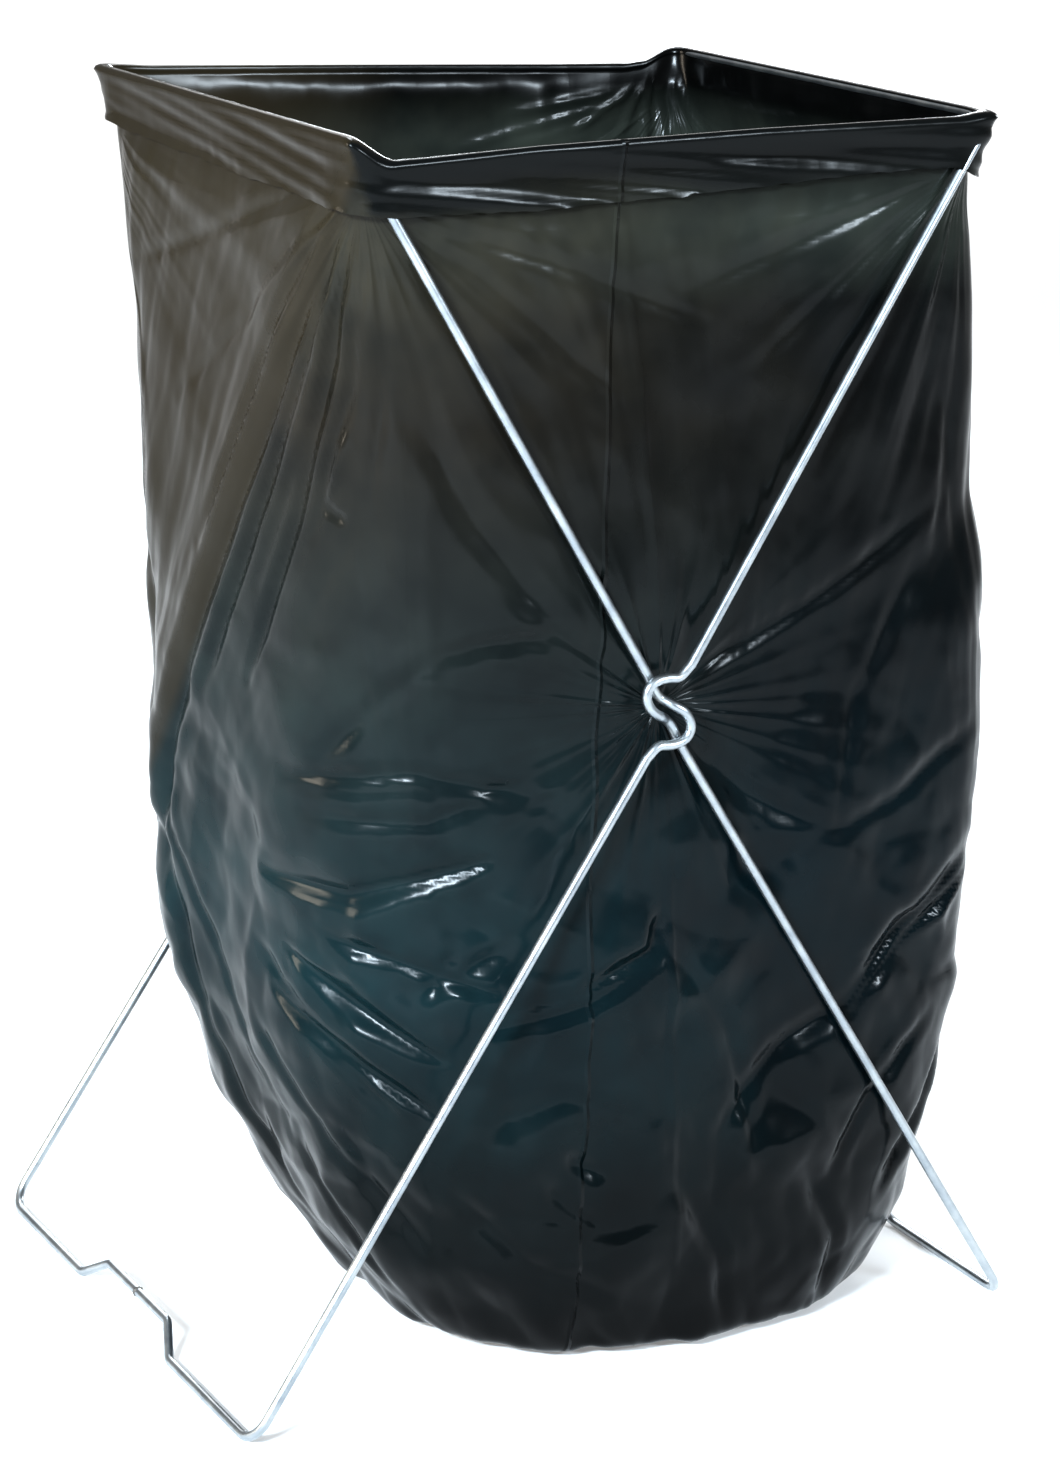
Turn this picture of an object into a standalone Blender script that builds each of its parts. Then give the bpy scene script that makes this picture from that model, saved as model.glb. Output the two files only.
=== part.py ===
# Folding wire stand holding a plastic bag open: two identical bent-wire loops,
# clasped together front and back, with the bag's rim stretched over the top rails.
# Units are metres, +Z is up, the front is -Y and the left loop is at -X.
import bpy
import bmesh
from math import cos, pi, radians, sin, tan
from mathutils import Matrix, Vector

# ---- driving dimensions ----------------------------------------------------
WIRE_R = 0.0029            # wire radius
FLAT_R = WIRE_R * cos(pi / 12)   # centre to facet, twelve-sided wire
HEIGHT = 0.740             # floor to top of the top rails
TOP_X = 0.202              # centre line of a top rail from the middle
TOP_Y = 0.1755             # half length of a top rail, centre line
FOOT_X = 0.2575            # centre line of a foot rail from the middle
FOOT_Y = 0.1915            # half length of a foot rail, centre line
TOP_Z = HEIGHT - WIRE_R
FOOT_Z = FLAT_R
PIVOT_Z = 0.4085           # height of the clasp, front and back
OUTER_Y = 0.1859           # outer layer of wire at the clasp
LAYER = 0.0064             # from the outer layer to the inner one
GAP = 0.0003               # left between neighbouring pieces
CORNER_R = 0.014           # bend radius, top corners
FOOT_CORNER_R = 0.016      # bend radius, foot corners
STUB = 0.012               # straight wire kept past each corner bend
HOOK_TAIL = 0.006          # straight wire kept at each end of a hook
NOTCH_OUT = 0.0695         # half length of the notch at the rail
NOTCH_IN = 0.046           # half length of the notch's raised stretch
NOTCH_RISE = 0.0165        # how far the middle of a foot rail is raised
WELD_HALF = 0.0035         # half length of the butt weld

FILM = 0.0008              # stand-in thickness of the film
CUFF_DROP = 0.036          # how far the folded rim hangs down outside
CUFF_FILM = 0.0010
CUFF_SIDE_X = 0.2056       # inner face of the side cuffs
CUFF_FRONT_Y = 0.1802      # inner face of the front and back cuffs

# Hook of the wire at the clasp, from the upper leg to the lower one:
# (sideways mm, up mm, layer), layer 0 outer and 1 inner, about the clasp's centre.
HOOK = [
    (13.5, 26.5, 0.0), (6.2, 20.0, 0.0), (-1.5, 20.0, 0.0), (-8.5, 19.0, 0.0),
    (-13.4, 15.6, 0.0), (-15.0, 10.6, 0.0), (-13.6, 5.4, 0.0), (-9.8, 0.6, 0.0),
    (-4.0, -3.0, 0.3), (1.8, -6.4, 1.0), (5.8, -10.6, 1.0), (8.6, -16.0, 1.0),
    (11.2, -21.0, 1.0), (14.5, -26.2, 1.0),
]

# Bag stations, top to bottom: height, half width, half depth, squareness,
# sideways shift, shift towards the back (all metres but the squareness).
STATIONS = [
    (0.738, 0.1975, 0.1715, 14.0, 0.000, 0.000),
    (0.712, 0.1985, 0.1720, 12.0, 0.000, 0.000),
    (0.690, 0.2050, 0.1725, 9.0, 0.004, 0.000),
    (0.600, 0.2120, 0.1730, 6.0, 0.015, 0.000),
    (0.500, 0.2160, 0.1730, 5.2, 0.023, 0.000),
    (0.400, 0.2180, 0.1725, 5.0, 0.028, -0.001),
    (0.300, 0.2170, 0.1705, 4.8, 0.030, -0.005),
    (0.200, 0.2140, 0.1680, 4.5, 0.033, -0.011),
    (0.120, 0.2000, 0.1610, 4.0, 0.036, -0.017),
    (0.060, 0.1850, 0.1500, 3.6, 0.040, -0.025),
    (0.025, 0.1660, 0.1370, 3.3, 0.044, -0.031),
    (0.007, 0.1480, 0.1190, 3.0, 0.047, -0.036),
]
PANEL_STEPS = 16           # columns of faces across a panel
PANEL_GAP = 0.010          # radians left open at each side of a panel
FLOOR_Z = 0.0012           # underside of the bag's bottom
BOTTOM_STEPS = 48          # edges round the bottom
BOTTOM_INSET = 0.0035      # how far the bottom stays inside the lowest station


# ---- scene set-up ----------------------------------------------------------
for old in list(bpy.data.objects):
    bpy.data.objects.remove(old, do_unlink=True)
bpy.context.scene.unit_settings.system = "METRIC"
holder = bpy.data.collections.new("plastic_bag_holder")
bpy.context.scene.collection.children.link(holder)


def material(name, colour, metallic, roughness):
    made = bpy.data.materials.new(name)
    made.use_nodes = True
    shader = made.node_tree.nodes["Principled BSDF"]
    shader.inputs["Base Color"].default_value = (*colour, 1.0)
    shader.inputs["Metallic"].default_value = metallic
    shader.inputs["Roughness"].default_value = roughness
    return made


WIRE = material("zinc_plated_wire", (0.72, 0.74, 0.76), 1.0, 0.25)
WELD = material("weld_scale", (0.16, 0.15, 0.15), 0.8, 0.6)
PLASTIC = material("black_film", (0.03, 0.035, 0.035), 0.0, 0.25)


def add_object(name, data, look):
    made = bpy.data.objects.new(name, data)
    data.materials.append(look)
    holder.objects.link(made)
    return made


# ---- wire paths ------------------------------------------------------------
def rounded(points, radii, steps=5):
    """The polyline with an arc of the given radius at each inner corner."""
    path = [points[0]]
    for before, corner, after, radius in zip(points, points[1:], points[2:], radii):
        if radius <= 0.0:
            path.append(corner)
            continue
        a = (before - corner).normalized()
        b = (after - corner).normalized()
        turn = a.angle(b)
        reach = radius / tan(turn / 2)
        centre = corner + (a + b).normalized() * (radius / sin(turn / 2))
        start = corner + a * reach - centre
        end = corner + b * reach - centre
        sweep = start.angle(end)
        for i in range(steps + 1):
            t = i / steps
            path.append(centre + (start * sin((1 - t) * sweep) + end * sin(t * sweep)) / sin(sweep))
    path.append(points[-1])
    return path


def smooth(points, steps=3):
    """Catmull-Rom curve through the points."""
    ends = [points[0] * 2 - points[1]] + points + [points[-1] * 2 - points[-2]]
    path = []
    for a, b, c, d in zip(ends, ends[1:], ends[2:], ends[3:]):
        for i in range(steps):
            t = i / steps
            path.append(0.5 * (2 * b + (c - a) * t + (2 * a - 5 * b + 4 * c - d) * t * t
                               + (3 * b - a - 3 * c + d) * t * t * t))
    path.append(points[-1])
    return path


def trimmed(points, start=0.0, end=0.0):
    """The polyline with a little taken off either end."""
    path = list(points)
    if start:
        path[0] = path[0] + (path[1] - path[0]).normalized() * start
    if end:
        path[-1] = path[-1] + (path[-2] - path[-1]).normalized() * end
    return path


def wire(name, path, look=WIRE, radius=WIRE_R, facet_down=False):
    data = bpy.data.curves.new(name, "CURVE")
    data.dimensions = "3D"
    data.bevel_depth = radius
    data.bevel_resolution = 4
    data.use_fill_caps = True
    data.twist_mode = "Z_UP" if facet_down else "MINIMUM"
    spline = data.splines.new("POLY")
    spline.points.add(len(path) - 1)
    for point, place in zip(spline.points, path):
        point.co = (*place, 1.0)
        point.tilt = radians(15) if facet_down else 0.0
    return add_object(name, data, look)


# Every path is drawn for the left loop, front half first; `turn` places the right
# loop, which is the same loop turned half a turn about the vertical.
def hook_points(side):
    """Clasp hook of the left loop: side -1 is its front one, +1 its back one."""
    points = []
    for across, up, layer in HOOK:
        y = side * (OUTER_Y - layer * LAYER)
        if side > 0:      # seen from behind, the upper leg is the outer one
            points.append(Vector((-across / 1000, y, PIVOT_Z + up / 1000)))
        else:             # in front the lower leg is the outer one
            points.append(Vector((-across / 1000, y, PIVOT_Z - up / 1000)))
    return points if side > 0 else points[::-1]


def build_loop(name, turn):
    def put(path):
        return [turn @ place for place in path]

    top = {s: Vector((-TOP_X, s * TOP_Y, TOP_Z)) for s in (-1, 1)}
    foot = {s: Vector((-FOOT_X, s * FOOT_Y, FOOT_Z)) for s in (-1, 1)}
    hooks = {s: hook_points(s) for s in (-1, 1)}   # upper end first

    # top rail with both corner bends
    ends = {s: top[s] + (hooks[s][0] - top[s]).normalized() * (CORNER_R + STUB) for s in (-1, 1)}
    rail = rounded([ends[-1], top[-1], top[1], ends[1]], [CORNER_R, CORNER_R])
    wire(name + "_top_rail", put(rail))

    # leaning direction of the foot rail's notch: up along the lower legs
    lean = Vector((FOOT_X, 0.0, PIVOT_Z - FOOT_Z)).normalized()
    foot_ends = {s: foot[s] + (hooks[s][-1] - foot[s]).normalized() * (FOOT_CORNER_R + STUB)
                 for s in (-1, 1)}
    for s, place in ((-1, "front"), (1, "back")):
        up = (ends[s] - hooks[s][0]).normalized()
        down = (foot_ends[s] - hooks[s][-1]).normalized()
        high, low = hooks[s][0] + up * HOOK_TAIL, hooks[s][-1] + down * HOOK_TAIL
        wire(name + "_upper_leg_" + place, put(trimmed([ends[s], high], GAP, GAP)))
        wire(name + "_hook_" + place, put([high] + smooth(hooks[s]) + [low]))
        wire(name + "_lower_leg_" + place, put(trimmed([low, foot_ends[s]], GAP, GAP)))
        raised = lean * NOTCH_RISE
        half = rounded([
            foot_ends[s], foot[s],
            Vector((-FOOT_X, s * NOTCH_OUT, FOOT_Z)),
            Vector((-FOOT_X, s * NOTCH_IN, FOOT_Z)) + raised,
            Vector((-FOOT_X, s * (WELD_HALF + GAP), FOOT_Z)) + raised,
        ], [FOOT_CORNER_R, 0.009, 0.009], 4)
        wire(name + "_foot_rail_" + place, put(half), facet_down=True)
    weld = [Vector((-FOOT_X, s * WELD_HALF, FOOT_Z)) + lean * NOTCH_RISE for s in (-1, 0, 1)]
    wire(name + "_foot_weld", put(weld), WELD, WIRE_R * 1.18)


build_loop("left", Matrix.Identity(4))
build_loop("right", Matrix.Rotation(pi, 4, "Z"))

# the right loop swings about the clasps, so its wires hang on an empty there
fold_axis = bpy.data.objects.new("fold_axis", None)
fold_axis.location = (0.0, 0.0, PIVOT_Z)
holder.objects.link(fold_axis)
for made in holder.objects:
    if made.name.startswith("right_"):
        made.parent = fold_axis
        made.matrix_parent_inverse = Matrix.Translation((0.0, 0.0, -PIVOT_Z))


# ---- bag -------------------------------------------------------------------
def rim_point(station, angle, inset=0.0):
    height, half_w, half_d, square, dx, dy = station
    c, s = cos(angle), sin(angle)
    x = abs(c) ** (2 / square) * (1 if c >= 0 else -1) * (half_w - inset)
    y = abs(s) ** (2 / square) * (1 if s >= 0 else -1) * (half_d - inset)
    return Vector((dx + x, dy + y, height))


def thickened(name, build):
    """Film object from an open bmesh surface, thickened behind its faces."""
    mesh = bpy.data.meshes.new(name)
    build.to_mesh(mesh)
    build.free()
    made = add_object(name, mesh, PLASTIC)
    thick = made.modifiers.new("thickness", "SOLIDIFY")
    thick.thickness = FILM
    thick.offset = -1.0
    return made


def panel(name, middle):
    """One side of the bag: a surface lofted down through the unlike stations."""
    build = bmesh.new()
    rows = []
    for station in STATIONS:
        row = []
        for i in range(PANEL_STEPS + 1):
            t = i / PANEL_STEPS
            angle = middle - pi / 4 + PANEL_GAP + t * (pi / 2 - 2 * PANEL_GAP)
            row.append(build.verts.new(rim_point(station, angle)))
        rows.append(row)
    for upper, lower in zip(rows, rows[1:]):
        for i in range(PANEL_STEPS):
            build.faces.new((upper[i], lower[i], lower[i + 1], upper[i + 1]))
    bmesh.ops.recalc_face_normals(build, faces=build.faces)
    return thickened(name, build)


for place, middle in (("right", 0.0), ("back", pi / 2), ("left", pi), ("front", 3 * pi / 2)):
    panel("bag_" + place + "_panel", middle)

build = bmesh.new()
outline = [rim_point(STATIONS[-1], 2 * pi * i / BOTTOM_STEPS, BOTTOM_INSET) for i in range(BOTTOM_STEPS)]
build.faces.new([build.verts.new((p.x, p.y, FLOOR_Z + FILM)) for p in outline])
bmesh.ops.recalc_face_normals(build, faces=build.faces)
if build.faces[:][0].normal.z < 0:
    bmesh.ops.reverse_faces(build, faces=build.faces)
thickened("bag_bottom", build)


def box(name, low, high):
    mesh = bpy.data.meshes.new(name)
    build = bmesh.new()
    bmesh.ops.create_cube(build, size=1.0)
    for vert in build.verts:
        vert.co = Vector([low[k] + (vert.co[k] + 0.5) * (high[k] - low[k]) for k in range(3)])
    build.to_mesh(mesh)
    build.free()
    return add_object(name, mesh, PLASTIC)


cuff_low = HEIGHT - CUFF_DROP
side_y = TOP_Y - 0.004
front_x = TOP_X - 0.004
for side, place in ((-1, "left"), (1, "right")):
    near, far = side * CUFF_SIDE_X, side * (CUFF_SIDE_X + CUFF_FILM)
    box("bag_cuff_" + place, (min(near, far), -side_y, cuff_low), (max(near, far), side_y, HEIGHT))
for side, place in ((-1, "front"), (1, "back")):
    near, far = side * CUFF_FRONT_Y, side * (CUFF_FRONT_Y + CUFF_FILM)
    box("bag_cuff_" + place, (-front_x, min(near, far), cuff_low), (front_x, max(near, far), HEIGHT))
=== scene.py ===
# Looks for the plastic bag holder: two clasped wire loops and a film bag stretched over them.
# Metres, +Z up, front -Y, left loop at -X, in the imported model's frame.
from math import atan2, cos, pi, radians, sin, tan

import bmesh
import bpy
import numpy as np
from mathutils import Matrix, Vector, geometry, noise


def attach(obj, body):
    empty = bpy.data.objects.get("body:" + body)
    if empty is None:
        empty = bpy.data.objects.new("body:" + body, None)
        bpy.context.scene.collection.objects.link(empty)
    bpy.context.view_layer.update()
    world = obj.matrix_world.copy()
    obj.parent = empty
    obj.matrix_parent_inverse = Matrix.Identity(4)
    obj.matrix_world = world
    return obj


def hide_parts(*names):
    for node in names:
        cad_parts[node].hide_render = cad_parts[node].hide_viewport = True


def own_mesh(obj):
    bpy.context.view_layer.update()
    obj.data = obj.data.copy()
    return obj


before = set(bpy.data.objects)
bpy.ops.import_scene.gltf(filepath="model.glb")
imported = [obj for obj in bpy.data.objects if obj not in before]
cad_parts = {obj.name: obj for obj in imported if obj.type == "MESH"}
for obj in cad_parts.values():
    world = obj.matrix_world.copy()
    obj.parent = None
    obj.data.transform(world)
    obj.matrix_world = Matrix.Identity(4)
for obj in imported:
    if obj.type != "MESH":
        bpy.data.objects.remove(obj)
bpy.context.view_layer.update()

# ---- sizes, the same as the CAD part's ---------------------------------------
WIRE_R = 0.0029
FLAT_R = WIRE_R * cos(pi / 12)
HEIGHT = 0.740
TOP_X, TOP_Y, TOP_Z = 0.202, 0.1755, HEIGHT - WIRE_R
FOOT_X, FOOT_Y, FOOT_Z = 0.2575, 0.1915, FLAT_R
PIVOT_Z = 0.4085
OUTER_Y, LAYER = 0.1859, 0.0064          # the outer hook and the step in to the next
CORNER_R, FOOT_CORNER_R = 0.014, 0.016
NOTCH_OUT, NOTCH_IN, NOTCH_RISE = 0.0695, 0.046, 0.0165
NOTCH_R = 0.009
# points of a clasp hook, front one: mm across from the middle, mm up, layers inwards
HOOK = [
    (13.5, 26.5, 0.0), (6.2, 20.0, 0.0), (-1.5, 20.0, 0.0), (-8.5, 19.0, 0.0),
    (-13.4, 15.6, 0.0), (-15.0, 10.6, 0.0), (-13.6, 5.4, 0.0), (-9.8, 0.6, 0.0),
    (-4.0, -3.0, 0.3), (1.8, -6.4, 1.0), (5.8, -10.6, 1.0), (8.6, -16.0, 1.0),
    (11.2, -21.0, 1.0), (14.5, -26.2, 1.0),
]


# ---- materials ----------------------------------------------------------------
def material(name, colour, metallic, roughness):
    made = bpy.data.materials.new(name)
    made.use_nodes = True
    shader = made.node_tree.nodes["Principled BSDF"]
    shader.inputs["Base Color"].default_value = (*colour, 1.0)
    shader.inputs["Metallic"].default_value = metallic
    shader.inputs["Roughness"].default_value = roughness
    return made


def node(tree, kind, **inputs):
    made = tree.nodes.new(kind)
    for key, value in inputs.items():
        made.inputs[key.replace("_", " ")].default_value = value
    return made


def ramp(tree, factor, stops):
    made = tree.nodes.new("ShaderNodeValToRGB")
    while len(made.color_ramp.elements) < len(stops):
        made.color_ramp.elements.new(0.5)
    for element, (at, colour) in zip(made.color_ramp.elements, stops):
        element.position = at
        element.color = (*colour, 1.0)
    tree.links.new(factor, made.inputs["Fac"])
    return made.outputs["Color"]


def wire_material():
    made = material("zinc_plated_wire", (0.72, 0.74, 0.76), 1.0, 0.26)
    tree, shader = made.node_tree, made.node_tree.nodes["Principled BSDF"]
    coords = tree.nodes.new("ShaderNodeTexCoord")
    spots = node(tree, "ShaderNodeTexNoise", Scale=60.0, Detail=5.0, Roughness=0.6)
    fine = node(tree, "ShaderNodeTexNoise", Scale=900.0, Detail=3.0, Roughness=0.6)
    tree.links.new(coords.outputs["Object"], spots.inputs["Vector"])
    tree.links.new(coords.outputs["Object"], fine.inputs["Vector"])
    colour = ramp(tree, spots.outputs["Fac"],
                  [(0.30, (0.27, 0.30, 0.33)), (0.50, (0.37, 0.40, 0.42)), (0.72, (0.48, 0.50, 0.50))])
    tree.links.new(colour, shader.inputs["Base Color"])
    rough = node(tree, "ShaderNodeMapRange", To_Min=0.26, To_Max=0.42)
    tree.links.new(spots.outputs["Fac"], rough.inputs["Value"])
    tree.links.new(rough.outputs["Result"], shader.inputs["Roughness"])
    bump = node(tree, "ShaderNodeBump", Strength=0.12, Distance=0.0003)
    tree.links.new(fine.outputs["Fac"], bump.inputs["Height"])
    tree.links.new(bump.outputs["Normal"], shader.inputs["Normal"])
    return made


WIRE = wire_material()
WELD = material("weld_scale", (0.10, 0.095, 0.09), 0.7, 0.55)


# ---- wire loops ----------------------------------------------------------------
def rounded(points, radii, steps=8):
    path = [points[0]]
    for before, corner, after, radius in zip(points, points[1:], points[2:], radii):
        a = (before - corner).normalized()
        b = (after - corner).normalized()
        turn = a.angle(b)
        reach = radius / tan(turn / 2)
        centre = corner + (a + b).normalized() * (radius / sin(turn / 2))
        start = corner + a * reach - centre
        end = corner + b * reach - centre
        sweep = start.angle(end)
        for i in range(steps + 1):
            t = i / steps
            path.append(centre + (start * sin((1 - t) * sweep) + end * sin(t * sweep)) / sin(sweep))
    path.append(points[-1])
    return path


def smooth(points, steps=6):
    ends = [points[0] * 2 - points[1]] + points + [points[-1] * 2 - points[-2]]
    path = []
    for a, b, c, d in zip(ends, ends[1:], ends[2:], ends[3:]):
        for i in range(steps):
            t = i / steps
            path.append(0.5 * (2 * b + (c - a) * t + (2 * a - 5 * b + 4 * c - d) * t * t
                               + (3 * b - a - 3 * c + d) * t * t * t))
    path.append(points[-1])
    return path


def hook_points(side):
    points = []
    for across, up, layer in HOOK:
        y = side * (OUTER_Y - layer * LAYER)
        flip = 1 if side > 0 else -1
        points.append(Vector((-across / 1000, y, PIVOT_Z + flip * up / 1000)))
    return points if side > 0 else points[::-1]


def loop_path():
    """Centre line of the left loop, closed: up the front, over, down the back, along the foot."""
    top = {s: Vector((-TOP_X, s * TOP_Y, TOP_Z)) for s in (-1, 1)}
    foot = {s: Vector((-FOOT_X, s * FOOT_Y, FOOT_Z)) for s in (-1, 1)}
    hooks = {s: hook_points(s) for s in (-1, 1)}
    lean = Vector((FOOT_X, 0.0, PIVOT_Z - FOOT_Z)).normalized() * NOTCH_RISE
    rail = rounded([hooks[-1][0], top[-1], top[1], hooks[1][0]], [CORNER_R, CORNER_R])
    back = smooth(hooks[1])
    low = rounded([
        hooks[1][-1], foot[1],
        Vector((-FOOT_X, NOTCH_OUT, FOOT_Z)), Vector((-FOOT_X, NOTCH_IN, FOOT_Z)) + lean,
        Vector((-FOOT_X, -NOTCH_IN, FOOT_Z)) + lean, Vector((-FOOT_X, -NOTCH_OUT, FOOT_Z)),
        foot[-1], hooks[-1][-1],
    ], [FOOT_CORNER_R, NOTCH_R, NOTCH_R, NOTCH_R, NOTCH_R, FOOT_CORNER_R])
    front = smooth(hooks[-1])[::-1]
    return rail[:-1] + back[:-1] + low[:-1] + front[:-1], Vector((-FOOT_X, 0.0, FOOT_Z)) + lean


def closed_wire(name, path):
    data = bpy.data.curves.new(name, "CURVE")
    data.dimensions = "3D"
    data.bevel_depth = WIRE_R
    data.bevel_resolution = 6
    spline = data.splines.new("POLY")
    spline.points.add(len(path) - 1)
    for point, place in zip(spline.points, path):
        point.co = (*place, 1.0)
    spline.use_cyclic_u = True
    spline.use_smooth = True
    data.materials.append(WIRE)
    made = bpy.data.objects.new(name, data)
    bpy.context.scene.collection.objects.link(made)
    return made


PATH, WELD_AT = loop_path()
CAD = list(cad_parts)
for side, turn in (("left", Matrix.Identity(4)), ("right", Matrix.Rotation(pi, 4, "Z"))):
    wire = closed_wire(side + "_wire", [turn @ p for p in PATH])
    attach(wire, side + "_loop")
    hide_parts(*[n for n in CAD if n.startswith(side + "_") and "weld" not in n])
    mesh = bpy.data.meshes.new(side + "_weld")
    build = bmesh.new()
    bmesh.ops.create_uvsphere(build, u_segments=20, v_segments=12, radius=1.0)
    for v in build.verts:
        lump = 1.0 + 0.10 * sin(9 * v.co.x + 2) * cos(7 * v.co.y + 1) + 0.06 * sin(13 * v.co.z)
        v.co = Vector((v.co.x * 0.0034 * lump, v.co.y * 0.0032, v.co.z * 0.0034 * lump)) + WELD_AT
        v.co = turn @ v.co
    for f in build.faces:
        f.smooth = True
    build.to_mesh(mesh)
    build.free()
    mesh.materials.append(WELD)
    bead = bpy.data.objects.new(side + "_weld_bead", mesh)
    bpy.context.scene.collection.objects.link(bead)
    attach(bead, side + "_loop")
    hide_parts(side + "_foot_weld")

# ---- film ------------------------------------------------------------------------
CUFF_ROWS = 17             # rings up the outside of each cuff
LIP_R = 0.0035             # rounding of the film over the rail
# s is the distance round the rim from the front left corner: front to 0.404, right
# to 0.755, back to 1.159, then the left side, written as -0.351 up to 0.
FRONT, SIDE = 0.404, 0.351
CORNERS = (0.0, FRONT, FRONT + SIDE, 2 * FRONT + SIDE)
ROUND = 2 * (FRONT + SIDE)
# each side: degrees where it starts, its length, its columns
SIDES = ((225, FRONT, 56), (315, SIDE, 48), (405, FRONT, 56), (495, SIDE, 48))
COLS = sum(n for _, _, n in SIDES)
S = np.concatenate([start + np.linspace(0, length, n, endpoint=False)
                    for start, (_, length, n) in zip((*CORNERS[:3], -SIDE), SIDES)])
# hull stations: height, half width, half depth, squareness of the corners and of the
# front left one, shift right, shift back
HULL = np.array([
    (0.7400, 0.1985, 0.1722, 34.0, 34.0, 0.000, 0.000),
    (0.7100, 0.1986, 0.1722, 22.0, 20.0, 0.000, 0.000),
    (0.6900, 0.2050, 0.1725, 11.0, 10.0, 0.002, 0.000),
    (0.6000, 0.2130, 0.1735, 6.8, 5.2, 0.013, 0.000),
    (0.5000, 0.2175, 0.1740, 5.6, 3.7, 0.021, 0.000),
    (0.4000, 0.2195, 0.1740, 5.2, 2.9, 0.026, 0.000),
    (0.3000, 0.2210, 0.1760, 5.0, 2.6, 0.031, -0.002),
    (0.2000, 0.2160, 0.1760, 4.6, 2.5, 0.036, -0.006),
    (0.1200, 0.2010, 0.1720, 4.0, 2.5, 0.039, -0.012),
    (0.0600, 0.1830, 0.1600, 3.5, 2.5, 0.043, -0.022),
    (0.0250, 0.1640, 0.1450, 3.2, 2.4, 0.045, -0.032),
    (0.0080, 0.1480, 0.1290, 3.0, 2.3, 0.047, -0.042),
    (0.0015, 0.1200, 0.1030, 2.7, 2.2, 0.048, -0.046),
])


def outline(half_w, half_d, square, corner, dx, dy):
    """Points round a rounded oblong, corner to corner, evenly spaced along each side."""
    found = []
    for start, _, n in SIDES:
        t = np.radians(np.linspace(start, start + 90, 600))
        c, s = np.cos(t), np.sin(t)
        power = np.where((c < 1e-9) & (s < 1e-9), corner, square)
        x = np.sign(c) * np.abs(c) ** (2 / power) * half_w + dx
        y = np.sign(s) * np.abs(s) ** (2 / power) * half_d + dy
        along = np.concatenate([[0], np.cumsum(np.hypot(np.diff(x), np.diff(y)))])
        at = np.linspace(0, along[-1], n, endpoint=False)
        found.append(np.stack([np.interp(at, along, x), np.interp(at, along, y)], 1))
    return np.concatenate(found)


def rounded_oblong(half_w, half_d, radius):
    """The same columns round an oblong with round corners, starting halfway round each corner."""
    found = []
    for start, _, n in SIDES:
        near, far = (half_w, half_d) if start in (225, 405) else (half_d, half_w)
        arc = np.linspace(0, pi / 4, 24)
        first = np.stack([-near + radius - radius * np.sin(pi / 4 - arc),
                          -far + radius - radius * np.cos(pi / 4 - arc)], 1)
        last = first[::-1] * (-1, 1)
        side = np.concatenate([first, last])
        along = np.concatenate([[0], np.cumsum(np.hypot(*np.diff(side, axis=0).T))])
        at = np.linspace(0, along[-1], n, endpoint=False)
        x, y = np.interp(at, along, side[:, 0]), np.interp(at, along, side[:, 1])
        turn = radians(start - 225)
        found.append(np.stack([x * cos(turn) - y * sin(turn), x * sin(turn) + y * cos(turn)], 1))
    return np.concatenate(found)


def hull_ring(z):
    k = [np.interp(-z, -HULL[:, 0], HULL[:, i]) for i in range(1, 7)]
    return np.column_stack([outline(*k), np.full(COLS, z)])


def grid_mesh(name, rows):
    """One sheet, closed round, from a list of rings of points."""
    rows = np.asarray(rows)
    n, m = rows.shape[:2]
    faces = [(i * m + j, (i + 1) * m + j, (i + 1) * m + (j + 1) % m, i * m + (j + 1) % m)
             for i in range(n - 1) for j in range(m)]
    mesh = bpy.data.meshes.new(name)
    mesh.from_pydata(rows.reshape(-1, 3).tolist(), [], faces)
    made = bpy.data.objects.new(name, mesh)
    bpy.context.scene.collection.objects.link(made)
    return made


def fuzz(points, seed):
    """Smooth noise, about -1 to 1, at an array of points."""
    flat = np.asarray(points, float).reshape(-1, 3) + seed
    return np.array([noise.noise(Vector(p)) for p in flat]).reshape(np.asarray(points).shape[:-1]) * 1.7


def strokes(s, z, table):
    """Sum of creases: each is (height mm, half width mm, points (s, z) in cm)."""
    total = np.zeros_like(s)
    for high, wide, *points in table:
        points = np.array(points, float) / 100.0
        best = np.full(s.shape, 1e9)
        along = np.zeros_like(s)
        legs = len(points) - 1
        for i, (a, b) in enumerate(zip(points, points[1:])):
            d = b - a
            t = np.clip(((s - a[0]) * d[0] + (z - a[1]) * d[1]) / (d @ d), 0, 1)
            away = np.hypot(s - a[0] - t * d[0], z - a[1] - t * d[1])
            along = np.where(away < best, (i + t) / legs, along)
            best = np.minimum(best, away)
        near = np.clip(1 - best / (wide / 1000), 0, 1)
        fade = np.clip(np.minimum(along, 1 - along) * 4 + 0.25, 0, 1)
        total += high / 1000 * near ** 1.15 * fade
    return total


def shelves(s, z, table):
    """Folds that round over to a lower lip: (width mm, points (s, z) in cm, left to right)."""
    total = np.zeros_like(s)
    for wide, *points in table:
        points = np.array(points, float) / 100.0
        up = (z - np.interp(s, points[:, 0], points[:, 1])) * 1000
        t = np.clip((s - points[0, 0]) / (points[-1, 0] - points[0, 0]), 0, 1)
        size = wide * np.sqrt(np.maximum(1 - (2 * t - 1) ** 2, 1e-6))
        top = np.clip((size - up) / size, 0, 1)
        lip = np.clip(1 + up / (0.7 * size), 0, 1)
        total = np.maximum(total, size * (0.15 * top + 0.24 * top ** 2) * lip * lip * (3 - 2 * lip) / 1000)
    return total


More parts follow.
